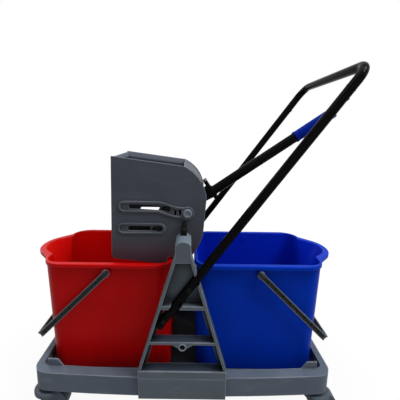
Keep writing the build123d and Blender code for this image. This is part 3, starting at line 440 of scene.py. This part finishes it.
# grooved tread that stands for each plain tyre
tread = {"radius": 0.029, "inner": 0.0232, "half": 0.011, "shoulder": 0.0034, "curve": 0.35,
         "groove": 0.0012, "grooveHalf": 0.0009, "grooveFloor": 0.6, "spacing": 0.0046, "sides": 96,
         "smooth": 30}
top, half = tread["radius"], tread["half"]
curve = tread["shoulder"] * tread["curve"]
shoulder = [(-half, tread["inner"]), (-half, top - tread["shoulder"]), (-half + curve, top - curve),
            (-half + tread["shoulder"], top)]
grooveTop, grooveFloor = tread["grooveHalf"], tread["grooveHalf"] * tread["grooveFloor"]
grooves = []
for middle in (-tread["spacing"], 0, tread["spacing"]):
    grooves += [(middle - grooveTop, top), (middle - grooveFloor, top - tread["groove"]),
                (middle + grooveFloor, top - tread["groove"]), (middle + grooveTop, top)]
otherShoulder = [(-height, radius) for height, radius in reversed(shoulder)]
master = turned(shoulder + grooves + otherShoulder, tread["sides"], True)
finishShape(tread["smooth"])
for corner in corners:
    tyre = f"castor_{corner}_tyre"
    copy = copyTo(master, f"tread_{corner}", middleOf(tyre), (0, 1, 0))
    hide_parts(tyre)
    settle(copy, "tyre_rubber", f"castor_{corner}_roller")
dropMaster(master)
print("tyre treads made")

# domed cap over each end of the castor axles; profiles hold heights and shares of the radius
axleCap = {"radius": 0.0072, "sides": 48, "profile": (
    (0, 1), (0.0009, 1), (0.00126, 0.86), (0.002028, 0.66), (0.0026, 0.34))}
spots = []
for corner in corners:
    axle = middleOf(f"castor_{corner}_axle")
    for end, (_, y, out) in zip("ab", acrossEnds(f"castor_{corner}_axle")):
        spots.append((f"axleCap_{corner}_{end}", (axle.x, y, axle.z), out, f"castor_{corner}_swivel"))
addTurned([(height, share * axleCap["radius"]) for height, share in axleCap["profile"]], axleCap["sides"],
          False, "castor_plastic", spots)

# the lever's line, and a weld round the foot of its tube
lever = {"pivot": Vector((0.0084, 0, 0.538)), "angle": math.radians(34.6), "drop": 0.008,
         "tubeStart": 0.085, "tubeRadius": 0.0135, "gripStart": 0.355, "gripRadius": 0.0148}
leverWay = Vector((math.cos(lever["angle"]), 0, math.sin(lever["angle"])))
leverUp = Vector((-math.sin(lever["angle"]), 0, math.cos(lever["angle"])))


def alongLever(distance):
    return lever["pivot"] + leverWay * distance - leverUp * lever["drop"]


weld = {"minor": 0.0026, "lift": 0.3, "beads": 28, "perBead": 4, "sides": 12, "ripple": -0.0005, "smooth": 60}
beginFresh()
bpy.ops.mesh.primitive_torus_add(
    major_radius=lever["tubeRadius"] + weld["minor"] * weld["lift"], minor_radius=weld["minor"],
    major_segments=weld["perBead"] * weld["beads"], minor_segments=weld["sides"])
master = bpy.context.object
bpy.context.tool_settings.mesh_select_mode = (True, False, False)
for vertex in master.data.vertices:
    step = math.atan2(vertex.co.y, vertex.co.x) * weld["perBead"] * weld["beads"] / math.tau
    vertex.select = round(step) % weld["perBead"] == 0
bpy.ops.object.mode_set(mode="EDIT")
bpy.ops.transform.shrink_fatten(value=weld["ripple"])
finishShape(weld["smooth"])
settle(copyTo(master, "leverWeld", alongLever(lever["tubeStart"]), leverWay), "black_paint", "lever")
dropMaster(master)
print("lever weld made")

# collar at the foot of the grip
collar = {"radius": 0.0156, "length": 0.006, "round": 0.0008, "curve": 0.3, "sink": 0.002, "sides": 64}
inner, outer, length = lever["gripRadius"] - collar["sink"], collar["radius"], collar["length"]
full, curve = collar["round"], collar["round"] * collar["curve"]
addTurned([
    (0, inner), (0, outer - full), (curve, outer - curve), (full, outer), (length - full, outer),
    (length - curve, outer - curve), (length, outer - full), (length, inner)],
    collar["sides"], True, "grip_plastic",
    [("gripCollar", alongLever(lever["gripStart"]), leverWay, "lever")])

# raised ring on each pivot cap
capRing = {"inner": 0.0072, "outer": 0.0096, "height": 0.0009, "rise": 0.6, "round": 0.0004,
           "sink": 0.0004, "sides": 64}
inner, outer, height = capRing["inner"], capRing["outer"], capRing["height"]
addTurned([
    (-capRing["sink"], outer), (height * capRing["rise"], outer), (height, outer - capRing["round"]),
    (height, inner + capRing["round"]), (height * capRing["rise"], inner), (-capRing["sink"], inner)],
    capRing["sides"], True, "bolt_plastic",
    [(f"pivotRing_{side}", (lever["pivot"].x, y, lever["pivot"].z), out, "wringer")
     for side, y, out in acrossEnds("pivot_bolts")])

# push-on cap at each end of the two rods
rodCap = {"radius": 0.0068, "sit": 0.1091, "sides": 40, "profile": (
    (0, 1), (0.0008, 1), (0.0011, 0.86), (0.00192, 0.76), (0.0024, 0.58), (0.00216, 0.3))}
spots = []
for rod, body in (("lower", "carriage"), ("upper", "jaw")):
    middle = middleOf(f"{rod}_rod")
    for side, way in (("near", -1), ("far", 1)):
        at = (middle.x, way * rodCap["sit"], middle.z)
        spots.append((f"rodCap_{rod}_{side}", at, (0, way, 0), body))
addTurned([(height, share * rodCap["radius"]) for height, share in rodCap["profile"]], rodCap["sides"],
          False, "dark_steel", spots)

# dimpled stud on the outer end of each bail's pegs
stud = {"radius": 0.005, "sides": 40, "profile": (
    (0, 1), (0.0008, 1), (0.00112, 0.84), (0.0014, 0.58), (0.00098, 0.4), (0.00084, 0.2))}
spots = []
for colour, sign in (("red", -1), ("blue", 1)):
    for side, y, out in acrossEnds(f"bail_{colour}"):
        at = (sign * bail["x"], y, bail["z"])
        spots.append((f"bailStud_{colour}_{side}", at, out, f"bail_{colour}"))
addTurned([(height, share * stud["radius"]) for height, share in stud["profile"]], stud["sides"],
          False, "bail_plastic", spots)

# the handle's line, and a rounded button on each head of its bolts
handle = {"foot": Vector((-0.06, 0, 0.272)), "angle": math.radians(54), "y": 0.2, "radius": 0.011,
          "bolts": (0.024, 0.128), "joint": 0.703}
handleWay = Vector((math.cos(handle["angle"]), 0, math.sin(handle["angle"])))
button = {"radius": 0.0052, "sides": 40, "profile": (
    (0, 1), (0.0005, 0.98), (0.00128, 0.76), (0.0016, 0.5), (0.0008, 0.42), (0.0008, 0.2))}
spots = []
for index, distance in enumerate(handle["bolts"]):
    bolt = handle["foot"] + handleWay * distance
    for side, y, out in acrossEnds("handle_bolts"):
        spots.append((f"boltButton_{index}_{side}", (bolt.x, y, bolt.z), out, "base"))
addTurned([(height, share * button["radius"]) for height, share in button["profile"]], button["sides"],
          False, "dark_steel", spots)

# raised bead round the eye under each tower's rung, in the lighter bolt plastic as a painted highlight
eye = {"inner": 0.0066, "outer": 0.0104, "height": 0.0014, "rise": 0.5, "round": 0.0008, "sink": 0.0006,
       "z": 0.2245, "sides": 64}
inner, outer, height = eye["inner"], eye["outer"], eye["height"]
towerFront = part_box("tower_near")[0][1]
addTurned([
    (-eye["sink"], outer), (height * eye["rise"], outer), (height, outer - eye["round"]),
    (height, inner + eye["round"]), (height * eye["rise"], inner), (-eye["sink"], inner)],
    eye["sides"], True, "bolt_plastic",
    [("eyeRing_near", (0, towerFront, eye["z"]), (0, -1, 0), "base"),
     ("eyeRing_far", (0, -towerFront, eye["z"]), (0, 1, 0), "base")])

# thin ring where the handle's bow plugs into each leg
jointRing = {"proud": 0.0005, "half": 0.0014, "crown": 0.5, "sink": 0.0004, "sides": 64}
low, high = handle["radius"] - jointRing["sink"], handle["radius"] + jointRing["proud"]
half, crown = jointRing["half"], jointRing["half"] * jointRing["crown"]
joint = handle["foot"] + handleWay * handle["joint"]
addTurned([(-half, low), (-crown, high), (crown, high), (half, low)],
          jointRing["sides"], True, "black_paint",
          [("handleRing_near", (joint.x, -handle["y"], joint.z), handleWay, "base"),
           ("handleRing_far", (joint.x, handle["y"], joint.z), handleWay, "base")])

# bearing race between each castor's head and its socket
race = {"inner": 0.0135, "outer": 0.0172, "half": 0.0006, "bulge": 0.0004, "gap": 0.0002, "sides": 64}
inner, outer, half = race["inner"], race["outer"], race["half"]
spots = []
for corner in corners:
    stem = middleOf(f"castor_{corner}_stem")
    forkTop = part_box(f"castor_{corner}_fork")[1][2]
    at = (stem.x, stem.y, forkTop + half + race["gap"])
    spots.append((f"swivelRace_{corner}", at, (0, 0, 1), f"castor_{corner}_swivel"))
addTurned([(-half, outer), (0, outer + race["bulge"]), (half, outer), (half, inner), (-half, inner)],
          race["sides"], True, "zinc_steel", spots)

# raised face on each tower's apron, set back above its crease
apron = {"half": 0.1106, "low": 0.0775, "crease": 0.1345, "ledge": 0.0014, "top": 0.156, "proud": 0.0018,
         "sink": 0.0008, "setBack": 0.0009, "round": 0.0004, "roundCuts": 2, "smooth": 20}
beginFresh()
bpy.ops.mesh.primitive_cube_add(size=1)
master = bpy.context.object
bpy.ops.transform.resize(
    value=(2 * apron["half"], apron["proud"] + apron["sink"], apron["top"] - apron["low"]))
bpy.ops.transform.translate(
    value=(0, (apron["sink"] - apron["proud"]) / 2, (apron["low"] + apron["top"]) / 2))
bpy.ops.object.transform_apply(location=True, rotation=True, scale=True)
bpy.ops.object.mode_set(mode="EDIT")
for cut in (apron["crease"], apron["crease"] + apron["ledge"]):
    bpy.ops.mesh.select_all(action="SELECT")
    bpy.ops.mesh.bisect(plane_co=(0, 0, cut), plane_no=(0, 0, 1))
bpy.ops.mesh.select_mode(type="VERT")
bpy.ops.mesh.select_all(action="DESELECT")
bpy.ops.object.mode_set(mode="OBJECT")
for vertex in master.data.vertices:
    vertex.select = vertex.co.z > apron["crease"] + apron["ledge"] / 2 and vertex.co.y < 0
bpy.ops.object.mode_set(mode="EDIT")
bpy.ops.transform.translate(value=(0, apron["setBack"], 0))
bpy.ops.mesh.select_all(action="SELECT")
bpy.ops.mesh.bevel(offset=apron["round"], segments=apron["roundCuts"])
finishShape(apron["smooth"])
for side, out, spin in (("near", 0, 0), ("far", 1, math.pi)):
    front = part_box(f"tower_{side}")[out][1]
    copy = copyTo(master, f"apronFace_{side}", (0, front, 0), (0, 0, 1), spin)
    settle(copy, "tower_plastic", "base")
dropMaster(master)
print("apron faces made")


def whiteRays(finish):
    # 1 for the rays that should meet plain white: from the camera, off gloss and through clear pieces
    seen = finish.add("ShaderNodeLightPath", {}, {}, "Is Camera Ray")
    mirrored = finish.add("ShaderNodeLightPath", {}, {}, "Is Glossy Ray")
    through = finish.add("ShaderNodeLightPath", {}, {}, "Is Transmission Ray")
    return (seen + mirrored + through).atMost(1)


# floor: white in the picture, a little less near the trolley so that its shadow shows
floor = {"size": 40, "colour": (0.4, 0.4, 0.4, 1), "rough": 1, "gloss": 0, "glow": 1.04, "glowNear": 0.9,
         "near": 0.45, "far": 1.0}
beginFresh()
bpy.ops.mesh.primitive_plane_add(size=floor["size"], location=(0, 0, 0))
floorPlane = bpy.context.object
floorPlane.name = "studioFloor"
floorMaterial, finish = newMaterial("studioFloor")
shader = finish.tree.nodes["Principled BSDF"]
shader.inputs["Base Color"].default_value = floor["colour"]
shader.inputs["Roughness"].default_value = floor["rough"]
shader.inputs["Specular IOR Level"].default_value = floor["gloss"]
glow = finish.add("ShaderNodeEmission", {}, {"Color": (1, 1, 1, 1), "Strength": floor["glow"]})
distance = finish.vector("LENGTH", finish.place(), output="Value")
fade = finish.step(distance, floor["near"], floor["far"])
share = whiteRays(finish) * (fade * (1 - floor["glowNear"]) + floor["glowNear"])
mixed = finish.add("ShaderNodeMixShader", {}, {0: share, 1: Wire(finish.tree, shader.outputs[0]), 2: glow})
finish.feed(finish.tree.nodes["Material Output"].inputs["Surface"], mixed)
floorPlane.data.materials.append(floorMaterial)

# sky: white in the picture, and a soft light on everything else
sky = {"colour": (1, 1, 1, 1), "soft": 0.3}
world = bpy.data.worlds.new("studioWorld")
world.use_nodes = True
bpy.context.scene.world = world
finish = Finish(world.node_tree)
background = world.node_tree.nodes["Background"]
background.inputs["Color"].default_value = sky["colour"]
finish.feed(background.inputs["Strength"], whiteRays(finish) * (1 - sky["soft"]) + sky["soft"])

lamps = {
    "keyLamp": {"at": (1.3, -0.6, 2.6), "to": (0, 0, 0.4), "size": (1.1, 1.1), "power": 48},
    "topLamp": {"at": (-0.4, -0.1, 3.0), "to": (0, 0, 0.3), "size": (2.2, 2.2), "power": 34},
    "frontLamp": {"at": (0.5, -3.0, 1.3), "to": (0, 0, 0.4), "size": (1.6, 1.6), "power": 7},
    "rimLamp": {"at": (-1.4, 1.2, 1.4), "to": (0.1, 0, 0.5), "size": (0.2, 1.2), "power": 14},
    "glintLamp": {"at": (1.7, -1.1, 1.9), "to": (0.3, 0, 0.8), "size": (0.06, 0.06), "power": 6},
}
for name, lamp in lamps.items():
    beginFresh()
    bpy.ops.object.light_add(type="AREA", location=lamp["at"])
    light = bpy.context.object
    light.name = name
    light.data.energy = lamp["power"]
    light.data.shape = "RECTANGLE"
    light.data.size, light.data.size_y = lamp["size"]
    aim = Vector(lamp["to"]) - Vector(lamp["at"])
    light.rotation_euler = aim.to_track_quat("-Z", "Y").to_euler()

# camera: where the photo was taken from
view = {"at": (0.01544, -0.91243, 0.74495), "pitch": 0.1989, "yaw": 0.0012, "roll": 0.0137, "lens": 28.8,
        "sensor": 36, "shift": (0.0226, -0.0095)}
beginFresh()
bpy.ops.object.camera_add(location=view["at"])
camera = bpy.context.object
camera.name = "photoCamera"
level = Matrix.Rotation(-view["yaw"], 4, "Z") @ Matrix.Rotation(math.pi / 2 - view["pitch"], 4, "X")
camera.matrix_world = Matrix.Translation(view["at"]) @ level @ Matrix.Rotation(view["roll"], 4, "Z")
camera.data.sensor_width = view["sensor"]
camera.data.lens = view["lens"]
camera.data.shift_x, camera.data.shift_y = view["shift"]
bpy.context.scene.camera = camera
bpy.context.scene.view_settings.view_transform = "Standard"
print("floor, light and camera set")
